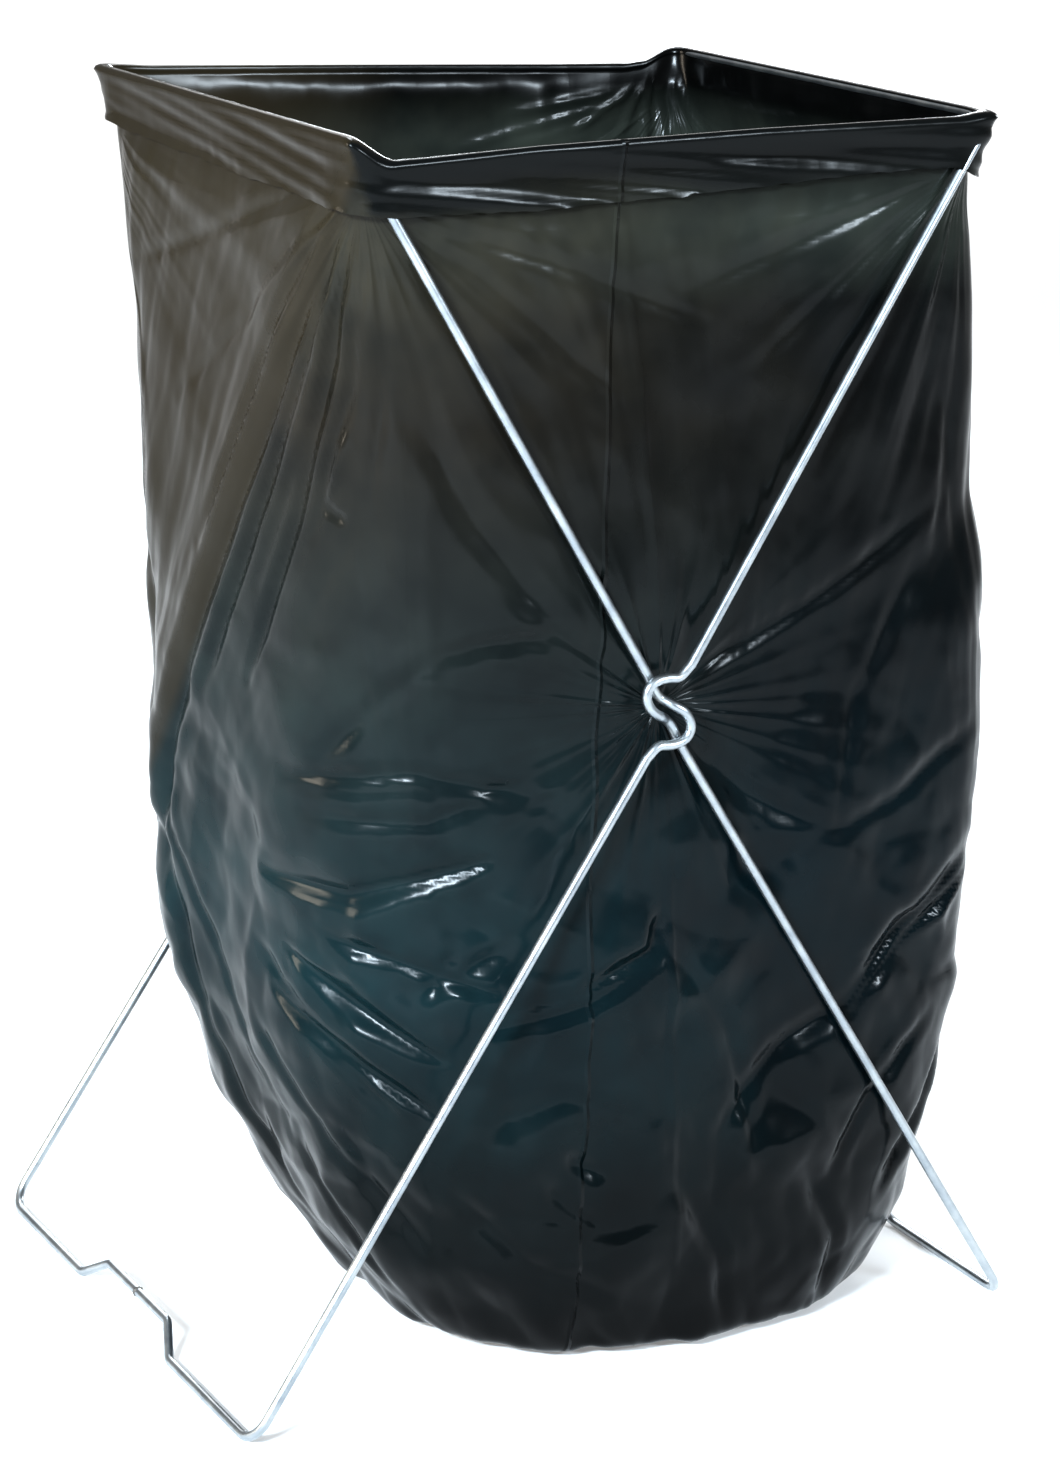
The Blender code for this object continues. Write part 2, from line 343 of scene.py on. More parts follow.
def facets(s, z, nodes):
    """Heights of the nodes (s, z in cm, height in mm), joined by flat triangles."""
    nodes = np.array(nodes, float) / (100, 100, 1000)
    columns, levels = s[0], z[:, 0]
    flat = [Vector(p[:2]) for p in nodes]
    places, _, triangles, sources, _, _ = geometry.delaunay_2d_cdt(flat, [], [], 0, 1e-6)
    heights = [nodes[i[0], 2] for i in sources]
    total = np.zeros_like(s)
    for a, b, c in triangles:
        (ax, ay), (bx, by), (cx, cy) = places[a], places[b], places[c]
        det = (by - cy) * (ax - cx) + (cx - bx) * (ay - cy)
        in_rows = np.nonzero((levels >= min(ay, by, cy)) & (levels <= max(ay, by, cy)))[0]
        in_columns = np.nonzero((columns >= min(ax, bx, cx)) & (columns <= max(ax, bx, cx)))[0]
        if abs(det) < 1e-9 or not len(in_rows) or not len(in_columns):
            continue
        block = np.ix_(in_rows, in_columns)
        u = ((by - cy) * (s[block] - cx) + (cx - bx) * (z[block] - cy)) / det
        v = ((cy - ay) * (s[block] - cx) + (ax - cx) * (z[block] - cy)) / det
        inside = (u >= -1e-9) & (v >= -1e-9) & (u + v <= 1 + 1e-9)
        value = u * heights[a] + v * heights[b] + (1 - u - v) * heights[c]
        total[block] = np.where(inside, value, total[block])
    return total


def cells(s, z, around, tall, seed):
    """Distance to the nearest of scattered points, in cells: dimples that meet in sharp ridges."""
    u, v = s * around / ROUND, z / tall
    left, low = np.floor(u), np.floor(v)
    best = np.full(s.shape, 9.0)
    for i in (-1, 0, 1):
        for j in (-1, 0, 1):
            column, row = left + i, low + j
            key = (column % around) * 12.9898 + row * 78.233 + seed
            a = np.sin(key) * 43758.5453 % 1.0
            b = np.sin(key * 1.7 + 3.1) * 24634.6345 % 1.0
            best = np.minimum(best, np.hypot(column + a - u, row + b - v))
    return best


# rim and hem heights round the bag: s in cm, z in mm
RIM = np.array([
    (-35.1, 740.6), (-0.5, 740.6), (0.3, 738.5), (1.0, 732.5), (2.0, 727.5), (4, 728), (11, 731.7),
    (25, 736), (38.5, 738), (40.0, 740.2), (75.9, 740.2), (77.5, 732), (79, 730), (85, 731),
    (100, 735), (113, 738.5), (115.9, 740.6),
])
HEM = np.array([
    (-35.1, 711), (-31, 707), (-20, 704), (-13, 701.7), (-9, 702.6), (-1.3, 699.8), (1.8, 697),
    (11, 697), (21, 701), (33.6, 709), (38.5, 709), (40.4, 702), (50, 705), (65, 702), (75.5, 699),
    (95, 703), (115.9, 711),
])


def round_rim(table):
    return np.interp(S, table[:, 0] / 100, table[:, 1] / 1000, period=ROUND)


# broad folds: height mm, half width mm, points (s, z) in cm. The first is the stress
# line from the front left corner down to the left outline.
RIDGES = [
    (10.0, 62, (-0.7, 71), (-8, 59.4), (-17, 47.4), (-26, 34), (-27, 22), (-22, 10)),
    (5.0, 40, (40.2, 71), (41.5, 56), (42.6, 43.8), (41.5, 30), (42, 16)),
]
# sharp creases in the wall, written the same way
CREASES = [
    # along and beside the first fold
    (12.0, 18, (-0.3, 71), (-8, 59.4), (-16.8, 47.4), (-25.6, 33.9), (-27, 26)),
    (7.0, 9, (-0.6, 71), (-5.0, 61.0), (-11.4, 50.6), (-19, 39)),
    (6.0, 8, (-0.2, 71), (-2.6, 61.5), (-7.2, 51.5), (-13, 41)),
    (5.0, 8, (-1.2, 71), (-10.4, 60.5), (-19.6, 48)),
    (4.0, 8, (0.4, 70.5), (-4.6, 58), (-11.5, 47)),
    (3.4, 7, (0.8, 70), (-1.6, 60), (-5.5, 51)),
    (2.6, 6, (1.0, 70), (0.6, 61), (-1.0, 53)),
    (-3.2, 9, (-2.2, 57.5), (-3.2, 55), (-3.9, 52.5)),
    (3.0, 6, (-2.9, 54.6), (-4.0, 52.6), (-2.7, 52.2)),
    (2.0, 8, (-2, 70.5), (-14, 62), (-24, 56)),
    (1.8, 8, (-3, 71), (-20, 66), (-31, 63)),
    (2.4, 8, (-27, 33), (-22, 24), (-14, 12)),
    (2.8, 9, (-26.5, 29), (-23.5, 16), (-17, 5)),
    # fan from the front left corner into the front
    (1.6, 8, (1.5, 69), (3, 60), (4, 52)),
    (1.8, 8, (2.0, 69.3), (6, 62), (10, 53)),
    (1.4, 7, (2.5, 69.5), (9, 64.5), (15, 59)),
    (1.2, 7, (3.0, 69.6), (12, 66.5), (21, 63)),
    # fan from the front right corner
    (1.6, 8, (39.6, 69.8), (37, 60), (33.5, 51)),
    (1.8, 8, (39.2, 70), (34, 62), (28.5, 54)),
    (1.4, 7, (38.8, 70.2), (31, 65), (24.5, 60)),
    (1.2, 7, (38.5, 70.3), (29, 67.5), (20, 64.5)),
    (1.6, 8, (39.9, 69), (39.2, 58), (37.5, 48)),
    # round the clasp
    (3.0, 10, (10.1, 45.6), (16.2, 41.5)),
    (4.0, 14, (10.1, 45.6), (5.5, 52), (2.0, 59)),
    (4.0, 9, (10.1, 45.6), (6.5, 45.4), (2.9, 44.7)),
    (3.0, 10, (2.9, 44.7), (-2, 41), (-7, 36.5)),
    (3.6, 10, (18.6, 38.5), (23, 34.8), (28.9, 32.1)),
    (3.0, 10, (28.9, 32.1), (34, 33.5), (40.5, 37)),
    (2.6, 9, (18.2, 42.6), (22.4, 43.8), (29, 46.6), (37, 51)),
    (2.6, 9, (28.9, 32.1), (31, 40), (36, 48)),
    (-1.5, 3.5, (16.4, 71), (16.6, 40), (17.0, 5)),
    # cross folds, lower left
    (4.0, 10, (-9, 36.2), (0.7, 37.4), (9.8, 35.6)),
    (3.0, 8, (-7, 34.2), (1.5, 34.6), (8.0, 37.2)),
    (4.5, 8, (0.6, 24.0), (2.6, 26.8)),
    (3.6, 9, (1.0, 24.2), (5.6, 26.9)),
    (3.6, 9, (-14, 24.5), (-8, 21), (-2, 16)),
    (3.0, 9, (-15, 20), (-9, 14), (-3, 8)),
    (3.0, 10, (-13, 12), (-8, 4)),
    # below the clasp
    (4.0, 10, (4.3, 22.6), (11, 24.2), (15.9, 26.4)),
    (6.0, 9, (16.2, 28.6), (15.4, 26.2), (11.5, 24.6)),
    (3.2, 12, (15.9, 27.4), (20.9, 20.7), (24, 12)),
    (4.0, 11, (7.2, 12.2), (9, 10.2), (11, 9.2)),
    (3.6, 9, (8.8, 13.8), (11.6, 12.4)),
    (3.2, 14, (3, 16), (9, 17.5), (15, 16)),
    (3.0, 12, (0, 12), (5, 7), (12, 4.5)),
    (3.0, 12, (17, 12), (21, 6), (22, 2)),
    # lower right
    (6.0, 13, (41, 29), (35.5, 25.5), (30.3, 21)),
    (4.0, 11, (30.3, 21), (25, 19), (20.5, 14)),
    (5.5, 12, (42, 16.5), (39, 12), (36.8, 8.4)),
    (4.0, 10, (38, 19), (33, 15), (30.6, 10)),
    (4.0, 12, (28, 11), (32, 6), (34, 2)),
    # gathers inside the back right corner and at the front left one
    (3.0, 4, (75.6, 73), (74.2, 69.5), (72.8, 66.5)),
    (3.0, 4, (75.9, 73), (75.2, 68)), (3.4, 4, (76.3, 73), (76.6, 66.5)),
    (3.0, 4, (76.8, 73), (78.2, 67)), (2.6, 4, (77.4, 72.6), (80, 68)), (2.2, 4, (78.2, 72.4), (83, 69.2)),
    (1.6, 5, (79, 72.3), (88, 70.6)), (1.4, 5, (79, 71.6), (92, 68)),
    # right, back and the rest of the left
    (4.0, 16, (41, 44), (48, 38), (57, 30)), (3.5, 14, (48, 66), (54, 52), (57, 36)),
    (4.0, 14, (46, 20), (56, 24), (66, 18)), (3.5, 14, (60, 50), (67, 58), (74, 69)),
    (4.5, 15, (58, 30), (68, 36), (75, 44)), (3.0, 14, (50, 10), (58, 14), (68, 9)),
    (3.0, 10, (76, 69), (82, 58), (86, 48)), (2.4, 9, (76.5, 70), (88, 63), (98, 58)),
    (4.0, 14, (86, 48), (94, 42), (96, 40)), (4.0, 14, (80, 30), (90, 33), (99, 28)),
    (4.5, 14, (98, 40), (106, 46), (114, 56)), (3.0, 12, (99, 24), (107, 20), (113, 12)),
    (3.5, 13, (78, 14), (88, 18), (97, 13)), (3.0, 10, (114, 69), (108, 58), (101, 50)),
    (3.5, 14, (-33, 50), (-29, 40), (-30, 26)), (3.0, 12, (-34, 20), (-29, 12), (-26, 4)),
]
# folds low on the left and below the clasp that lie open to the light
SHELVES = [
    (22, (-12.5, 29.6), (-4.4, 29.6), (5.4, 32.4)),
    (12, (-8.8, 27.4), (-1.6, 26.0), (5.4, 24.2)),
    (20, (-11.4, 25.6), (-4.0, 22.6), (2.4, 19.6)),
    (14, (-12.6, 22.6), (-5.2, 19.6), (0.6, 16.6)),
    (12, (3.8, 21.8), (11, 23.4), (16.2, 26.0)),
    (9, (6.4, 10.2), (11.2, 8.8)),
    (12, (29.0, 19.6), (35.5, 24.6), (41.5, 28.0)),
    (8, (-8, 35.4), (0.7, 36.6), (9.8, 35.0)),
]
# joined by flat triangles: nodes (s, z in cm, outwards in mm)
NODES = [
    (10.1, 45.6, 5), (2.9, 44.7, 4), (28.9, 32.1, 5), (15.9, 27.4, 5), (16.6, 40.2, -3),
    (40.4, 43.8, 9), (4, 58, -2), (16, 60, -2), (30, 58, -2), (24, 49, -1), (34, 45, -3), (36, 36, 2),
    (22, 38, -3), (9, 38, -3), (-3, 50, -1), (-12, 58, -3), (-24, 60, -3), (-30, 52, 2), (-26, 44, 4),
    (-12, 42, 2), (-4, 34, 3), (-14, 30, -2), (-22, 30, 3), (-30, 34, 2), (4, 29, -3), (-9, 22, 3),
    (-18, 16, 1), (-28, 18, 3), (6, 20, 2), (12, 14, -3), (20, 20, -2), (25, 26, -3), (32, 27, 1),
    (38, 24, -3), (41, 30, 3), (30, 14, 1), (40, 14, 2), (24, 8, 1), (14, 7, 2), (3, 9, -2),
    (-8, 10, 2), (-20, 6, 0), (-30, 6, 1), (34, 6, 0), (48, 56, -3), (58, 60, 2), (68, 56, -3),
    (52, 42, 4), (62, 40, -3), (72, 42, 3), (48, 28, -3), (58, 26, 4), (70, 26, -2), (52, 12, 2),
    (64, 12, -2), (75, 14, 2), (80, 56, -3), (92, 58, 2), (104, 56, -3), (86, 44, 3), (98, 42, -3),
    (110, 42, 3), (82, 28, -2), (94, 26, 4), (106, 28, -3), (86, 12, 2), (98, 12, -2), (110, 14, 1),
]
EDGES = [(s, z, 0) for z in (0, 72) for s in range(-36, 118, 11)]
EDGES += [(s, z, 1) for s in (-36, 117) for z in (14, 28, 42, 56)]

outer = rounded_oblong(0.2058, 0.1808, 0.005)
outer_low = rounded_oblong(0.2056, 0.1806, 0.029)
inner = hull_ring(0.738)[:, :2]
# the front and back cuffs draw in a little between the corners
along_side = np.select([S < 0, S < FRONT, S < CORNERS[2]], [0.0, S / FRONT, 0.0],
                       (S - CORNERS[2]) / FRONT)
pinch = np.sin(pi * along_side)[:, None] * np.array([0.0, 1.0]) * np.sign(outer)
outer = outer - pinch * 0.0012
outer_low = outer_low - pinch * 0.0012
inner = inner + pinch * 0.0026
push = outer / np.linalg.norm(outer, axis=1, keepdims=True)
rim, hem = round_rim(RIM), round_rim(HEM)
zero = S * 0
corner_of = np.min([np.abs((S - at + ROUND / 2) % ROUND - ROUND / 2) for at in CORNERS], axis=0)


def cuff_rows():
    """From the hem up the outside and over the rim. Clear of the wire the two plies close up."""
    rows = []
    rail = np.abs(outer[:, 0]) > 0.2050
    mid_side = np.clip((corner_of - 0.012) / 0.03, 0, 1)
    gather = np.exp(-(corner_of / 0.020) ** 2)
    for k in np.linspace(1.0, 0.0, CUFF_ROWS)[:-1]:        # hem upwards
        z = rim - LIP_R - (rim - LIP_R - hem) * k
        wave = fuzz(np.column_stack([S * 26, z * 40, zero]), 3.0)
        wave += 0.35 * fuzz(np.column_stack([S * 150, z * 60, zero]), 9.0) * k
        folds = fuzz(np.column_stack([S * 6, z * 130 + S * 14, zero]), 6.0)
        out = k ** 1.4 * 0.0007 * wave + 0.0013 * folds * min(1.0, 5 * k)
        out += 0.0007 * gather * np.sin(S * 700 + 3 * k) * min(1.0, 3 * k)
        out -= mid_side * min(1.0, k * 2.2) * np.where(rail, 0.0020, 0.0028)
        close = min(1.0, k * 1.15) ** 0.7
        ring = np.column_stack([outer * (1 - close) + outer_low * close
                                + push * np.maximum(out, -0.0036 * mid_side)[:, None], z])
        if k == 1.0:
            ring[:, 2] += 0.0010 * fuzz(np.column_stack([S * 170, zero, zero]), 5.0)
        rows.append(ring)
    for a in np.radians((0, 35, 65, 90, 115, 145)):
        rows.append(np.column_stack([(outer + inner) / 2 + (outer - inner) / 2 * cos(a),
                                     rim - LIP_R + LIP_R * sin(a)]))
    return rows


LEVELS = list(np.linspace(0.7370, 0.022, 100)) + [0.0165, 0.012, 0.008, 0.005, 0.003]
wall = np.array([hull_ring(z) for z in LEVELS])
level = np.array(LEVELS)[:, None] * np.ones(COLS)
easing = np.clip((level - 0.66) / 0.077, 0, 1)
easing = easing * easing * (3 - 2 * easing)
wall[:, :, 2] += (rim - 0.7406) * easing
wall[0, :, :2] = inner
s_grid = np.ones(len(LEVELS))[:, None] * S


def outwards(grid):
    """Level unit vectors pointing out of the bag."""
    along = np.roll(grid, -1, axis=1) - np.roll(grid, 1, axis=1)
    flat = np.stack([along[..., 1], -along[..., 0], along[..., 0] * 0], -1)
    return flat / np.maximum(np.linalg.norm(flat, axis=-1, keepdims=True), 1e-9)


hull_wall = wall.copy()
relief = facets(s_grid, level, NODES + EDGES)
relief += strokes(s_grid, level, RIDGES)
relief += 0.0010 * fuzz(wall * 22, 1.0)
relief *= np.clip((0.735 - level) / 0.05, 0, 1)
relief += np.clip((0.05 - level) / 0.05, 0, 1) * 0.0035 * fuzz(wall * 34, 4.0)
wall += outwards(hull_wall) * relief[..., None]

centre = wall[-1].mean(0)
base = []
for k in np.linspace(0.93, 0.03, 14):
    ring = centre + (wall[-1] - centre) * k
    ring[:, 2] = 0.0022
    ring[:, 2] += 0.0022 * np.maximum(fuzz(ring * 30, 8.0), 0) * min(1.0, (1 - k) * 6)
    base.append(ring)
base = np.array(base)


# ---- cloth: the liner is bigger round and longer than the space it fills ------------
# The wall is a net of links, each a little longer than the place it starts in. Pulling
# every link to its length again and again crumples the film, while a weak hold keeps it
# near the shape above and its stiffness spreads the folds.
def crumple(start, slack_round, slack_down, hold, stiff, rounds):
    net = start + outwards(start) * (0.0008 * fuzz(start * 60, 12.0))[..., None]
    net[:2], net[-3:] = start[:2], start[-3:]
    slanting = (slack_round + slack_down) / 2
    links = []
    for down, across, slack in ((0, 1, slack_round), (1, 0, slack_down), (1, 1, slanting), (1, -1, slanting)):
        near = start[:len(start) - down]
        far = np.roll(start, -across, axis=1)[down:]
        apart = np.linalg.norm(far - near, axis=-1, keepdims=True)
        links.append((down, across, apart * (1 + slack[:len(near), :, None])))
    free = np.ones((len(start), 1, 1))
    free[:2], free[-3:] = 0, 0
    for _ in range(rounds):
        for down, across, length in links:
            near = net[:len(net) - down]
            far = np.roll(net, -across, axis=1)[down:]
            apart = far - near
            now = np.linalg.norm(apart, axis=-1, keepdims=True)
            move = apart * (0.22 * (now - length) / np.maximum(now, 1e-9))
            shift = np.zeros_like(net)
            shift[:len(net) - down] += move
            back = np.zeros_like(net)
            back[down:] = move
            net = net + free * (shift - np.roll(back, across, axis=1))
        lap = np.roll(net, 1, 1) + np.roll(net, -1, 1) - 2 * net
        bend = np.roll(lap, 1, 1) + np.roll(lap, -1, 1) - 2 * lap
        mid = np.zeros_like(net)
        mid[1:-1] = net[2:] + net[:-2] - 2 * net[1:-1]
        bend[1:-1] += mid[2:] + mid[:-2] - 2 * mid[1:-1]
        net = net + free * (hold * (start - net) - stiff * bend)
    return net


# how much longer than its place each link is, by height
loose_down = np.interp(-level, (-0.737, -0.62, -0.42, -0.30, -0.1, 0.0),
                       (0.0, 0.002, 0.010, 0.022, 0.028, 0.03))
loose_round = np.interp(-level, (-0.737, -0.68, -0.5, -0.3, -0.1, -0.02),
                        (0.002, 0.006, 0.012, 0.018, 0.028, 0.035))
wall = crumple(wall, loose_round, loose_down, hold=0.006, stiff=0.012, rounds=160)


# ---- finer mesh and clearances -----------------------------------------------------
def cubic(grid, at, wraps):
    """Catmull-Rom resampling of the grid's first axis."""
    n = len(grid)
    i = np.floor(at).astype(int)
    t = (at - i)[(...,) + (None,) * (grid.ndim - 1)]
    places = [(i + k) % n if wraps else np.clip(i + k, 0, n - 1) for k in (-1, 0, 1, 2)]
    a, b, c, d = (grid[place] for place in places)
    return 0.5 * (2 * b + (c - a) * t + (2 * a - 5 * b + 4 * c - d) * t * t
                  + (3 * b - a - 3 * c + d) * t ** 3)


cuff = np.array(cuff_rows())
whole = np.concatenate([cuff, wall, base])
n_cuff = len(cuff)
n_upright = n_cuff + len(wall)
fine_rows = np.concatenate([np.arange(0, n_cuff, 1.0), np.arange(n_cuff, n_upright, 0.4),
                            np.arange(n_upright, len(whole), 1.0)])
fine_cols = np.arange(0, COLS, 0.4)
whole = cubic(whole, fine_rows, False)
whole = cubic(np.swapaxes(whole, 0, 1), fine_cols, True)
whole = np.swapaxes(whole, 0, 1)


def clear_wires(points, keep=0.0037, wide=0.032, slope=0.55):
    """Push the film to the bag's side of every leg and hook, down into a valley along each."""
    flat = points.reshape(-1, 3)
    for turn in (1.0, -1.0):
        path = np.array(PATH) * (turn, turn, 1.0)
        for a, b in zip(path, np.roll(path, -1, axis=0)):
            if min(abs(a[1]), abs(b[1])) < 0.17 or a[1] * b[1] < 0 or np.linalg.norm(b - a) < 1e-6:
                continue
            side = np.sign(a[1])
            d = (b - a)[[0, 2]]
            rel = flat[:, [0, 2]] - a[[0, 2]]
            t = np.clip(rel @ d / max(d @ d, 1e-12), 0, 1)
            away = np.linalg.norm(rel - t[:, None] * d, axis=1)
            near = (away < wide) & (flat[:, 1] * side > 0.12) & (flat[:, 2] < 0.722)
            limit = side * (a[1] + (b[1] - a[1]) * t) - keep + slope * np.maximum(away - keep, 0)
            over = near & (flat[:, 1] * side > limit)
            flat[over, 1] = side * limit[over]
    return flat.reshape(points.shape)


inside_rows = np.searchsorted(fine_rows, n_cuff)
last_wall = np.searchsorted(fine_rows, n_upright - 1)


def surface_normals(grid):
    across = np.roll(grid, -1, axis=1) - np.roll(grid, 1, axis=1)
    down = np.gradient(grid, axis=0)
    normal = np.cross(across, down)
    return normal / np.maximum(np.linalg.norm(normal, axis=-1, keepdims=True), 1e-12)


def scattered(apart, tall, top, high):
    """Nodes for facets, spread without a pattern: spacing in cm, top in metres, heights in mm."""
    nodes = []
    for i in range(int(154 / apart) + 2):
        for j in range(int(top * 100 / tall) + 2):
            key = i * 12.9898 + j * 78.233
            a, b, c = (sin(key * k) * 43758.5453 % 1.0 for k in (1.0, 1.3, 1.9))
            nodes.append((-37 + (i + a * 0.8) * apart, (j + b * 0.8) * tall - 2, (c * 2 - 1) * high))
    return nodes


# fine creases, laid along the pull of the corners above and crossways below
fine_s = np.interp(fine_cols, np.arange(COLS + 1), np.append(np.where(S < 0, S + ROUND, S), ROUND))
fine_s = np.where(fine_s > CORNERS[3] - 1e-9, fine_s - ROUND, fine_s)
fine_level = np.interp(fine_rows, np.arange(n_cuff, n_cuff + len(LEVELS)), LEVELS)
rows_s = np.ones(last_wall - inside_rows)[:, None] * fine_s
rows_z = fine_level[inside_rows:last_wall, None] * np.ones(len(fine_s))
pull = np.interp(fine_s,
                 (-0.351, -0.30, -0.15, -0.02, 0.03, 0.10, 0.20, 0.27,
                  0.38, 0.43, 0.55, 0.70, 0.78, 0.90, 1.0, 1.159),
                 (0.0, 0.5, 0.75, 0.75, -0.3, -0.55, 0.0, 0.45,
                  0.6, -0.4, 0.0, 0.4, -0.4, 0.0, 0.4, 0.0))
wobble = 0.010 * fuzz(np.stack([rows_s * 12, rows_z * 12, rows_s * 0], -1), 2.0)
lean = rows_s + pull * (0.70 - rows_z) + wobble * 0.5
lower = np.clip((0.47 - rows_z) / 0.16, 0, 1)
upper = np.clip((rows_z - 0.25) / 0.2, 0, 1) * np.clip((0.737 - rows_z) / 0.02, 0, 1)
fine = 0.0016 * upper * cells(lean, rows_z, 46, 0.22, 1.0)
fine += 0.0007 * upper * cells(lean, rows_z, 110, 0.12, 5.0)
fine += lower * facets(rows_s, rows_z, scattered(4.6, 3.4, 0.55, 3.4))
fine += 0.0012 * (0.25 + lower) * cells(rows_s + wobble, rows_z + wobble, 56, 0.026, 3.0)
fine += strokes(rows_s, rows_z, CREASES) * np.clip((0.737 - rows_z) / 0.02, 0, 1)
fold_out = shelves(rows_s, rows_z, SHELVES)
fine = fine * (1 - 0.9 * np.clip(fold_out / 0.0025, 0, 1)) + fold_out
band = slice(inside_rows, last_wall)
# the creases stand on a surface sunk by 2 mm
whole[band] += surface_normals(whole)[band] * (fine - 0.002)[..., None]
whole[inside_rows:] = clear_wires(whole[inside_rows:])
whole[:, :, 2] = np.maximum(whole[:, :, 2], 0.0012)


# ---- film material -----------------------------------------------------------------
FILM = material("black_film", (0.02, 0.025, 0.025), 0.0, 0.30)
tree = FILM.node_tree
link = tree.links.new
coords = tree.nodes.new("ShaderNodeTexCoord").outputs["Object"]
axes = tree.nodes.new("ShaderNodeSeparateXYZ")
link(coords, axes.inputs["Vector"])
x, y, z = (axes.outputs[axis] for axis in "XYZ")


def feed(socket, value):
    """Give a node's input a constant or another node's output."""
    if isinstance(value, (int, float, tuple)):
        socket.default_value = value
    else:
        link(value, socket)


def maths(kind, a, b=None, clamp=False):
    step = tree.nodes.new("ShaderNodeMath")
    step.operation, step.use_clamp = kind, clamp
    feed(step.inputs[0], a)
    if b is not None:
        feed(step.inputs[1], b)
    return step.outputs["Value"]


def blend(kind, share, a, b):
    mix = tree.nodes.new("ShaderNodeMix")
    mix.data_type = "RGBA"
    mix.blend_type = kind
    for socket, value in ((0, share), (6, a), (7, b)):
        feed(mix.inputs[socket], value)
    return mix.outputs[2]


def stretch(scale, rotation=(0.0, 0.0, 0.0)):
    place = tree.nodes.new("ShaderNodeMapping")
    feed(place.inputs["Scale"], scale)
    feed(place.inputs["Rotation"], rotation)
    link(coords, place.inputs["Vector"])
    return place.outputs["Vector"]


def cloud(vector, scale, detail, kind="FBM", distortion=0.0):
    made = node(tree, "ShaderNodeTexNoise", Scale=scale, Detail=detail, Distortion=distortion)
    made.noise_type = kind
    link(vector, made.inputs["Vector"])
    return made.outputs["Fac"]


def crinkles(vector, scale, warp):
    """Scattered dimples with sharp ridges between them."""
    cell = node(tree, "ShaderNodeTexVoronoi", Scale=scale)
    shaken = tree.nodes.new("ShaderNodeVectorMath")
    shaken.operation = "MULTIPLY_ADD"
    noise_at = node(tree, "ShaderNodeTexNoise", Scale=scale * 0.6, Detail=2.0)
    link(vector, noise_at.inputs["Vector"])
    for socket, value in enumerate((noise_at.outputs["Color"], (warp, warp, warp), vector)):
        feed(shaken.inputs[socket], value)
    link(shaken.outputs["Vector"], cell.inputs["Vector"])
    return cell.outputs["Distance"]


def fan(aside, below, reach, seed):
    """Sharp crests that spread from a point, weaker with distance."""
    far = maths("SQRT", maths("ADD", maths("MULTIPLY", aside, aside), maths("MULTIPLY", below, below)))
    place = tree.nodes.new("ShaderNodeCombineXYZ")
    feed(place.inputs["X"], maths("ARCTAN2", aside, below))
    feed(place.inputs["Y"], maths("MULTIPLY", far, 0.35))
    feed(place.inputs["Z"], seed)
    crests = cloud(place.outputs["Vector"], 6.5, 4.0, "RIDGED_MULTIFRACTAL", 0.15)
    fading = maths("ADD", maths("MULTIPLY", far, -1 / reach), 1.0, clamp=True)
    return maths("MULTIPLY", crests, fading)


# distances round the bag, from the front left and back right corners and from the others
sum_xy, less_xy = maths("ADD", x, y), maths("SUBTRACT", x, y)
one_way = maths("ADD", less_xy, maths("MULTIPLY", maths("SIGN", sum_xy), -0.025))
other_way = maths("ADD", sum_xy, maths("MULTIPLY", maths("SIGN", less_xy), -0.025))


def film_colour_and_painted_light():
    """Painted light and shade in the base colour: painted light through the thin film,
    warm up and to the left and teal lower down; painted shade, nearly black to the right
    and where it lies on the floor."""
    height = maths("MULTIPLY", z, 1 / HEIGHT)
    # painted shade: the film nearly black to the right and low down, with a painted strip of light just under
    # the cuff and painted shade on the cuff
    right = ramp(tree, height, [
        (0.0, (0.0001,) * 3), (0.15, (0.0002, 0.0010, 0.0013)), (0.40, (0.0006, 0.0030, 0.0042)),
        (0.70, (0.0006, 0.0010, 0.0011)), (0.86, (0.0014, 0.0018, 0.0018)),
        (0.925, (0.014, 0.017, 0.014)), (0.97, (0.0005, 0.0006, 0.0006)),
    ])
    # painted light: lighter up and to the left, teal lower down and warm higher up, with painted shade near
    # the floor and on the cuff
    left = ramp(tree, height, [
        (0.0, (0.0002,) * 3), (0.14, (0.0016, 0.0034, 0.0038)), (0.32, (0.0030, 0.0120, 0.0145)),
        (0.55, (0.006, 0.010, 0.010)), (0.78, (0.0095, 0.0078, 0.0054)),
        (0.93, (0.017, 0.015, 0.010)), (0.97, (0.0015, 0.0015, 0.0010)),
    ])
    # the painted light of the left ramp on the left side, the painted shade of the right ramp on the right
    blotch = cloud(coords, 9.0, 3.0, distortion=0.5)
    lit_left_share = maths("ADD", maths("MULTIPLY", x, -3.0), maths("MULTIPLY", blotch, 0.9))
    lit_left_share = maths("ADD", lit_left_share, -0.12, clamp=True)
    tone = blend("MIX", lit_left_share, right, left)
    patches = ramp(tree, cloud(coords, 26.0, 3.0), [(0.3, (0.48, 0.50, 0.52)), (0.7, (0.98, 0.95, 0.92))])
    tone = blend("MULTIPLY", 1.0, tone, patches)
    # painted warm light on the left panel, past the stress line
    past_line = maths("ADD", maths("MULTIPLY", maths("SUBTRACT", z, 0.71), 0.68),
                      maths("MULTIPLY", one_way, -1.0))
    past_line = maths("MULTIPLY", past_line, 90.0, clamp=True)
    warm_lit_panel = maths("MULTIPLY", past_line, maths("MULTIPLY", x, -8.0, clamp=True))
    warm_lit_panel = maths("MULTIPLY", warm_lit_panel, maths("MULTIPLY", maths("SUBTRACT", z, 0.08), 3.0, clamp=True))
    tone = blend("MIX", maths("MULTIPLY", warm_lit_panel, 0.75), tone, (0.0120, 0.0088, 0.0046, 1.0))
    # painted shade: the front cuff, two plies, darker in colour
    front_cuff = maths("MULTIPLY", maths("ADD", y, 0.1762), -400.0, clamp=True)
    cuff_shade = maths("MULTIPLY", front_cuff, maths("MULTIPLY", maths("ADD", z, -0.692), 100.0, clamp=True),
                   clamp=True)
    return blend("MIX", cuff_shade, tone, (0.0012, 0.0015, 0.0015, 1.0))


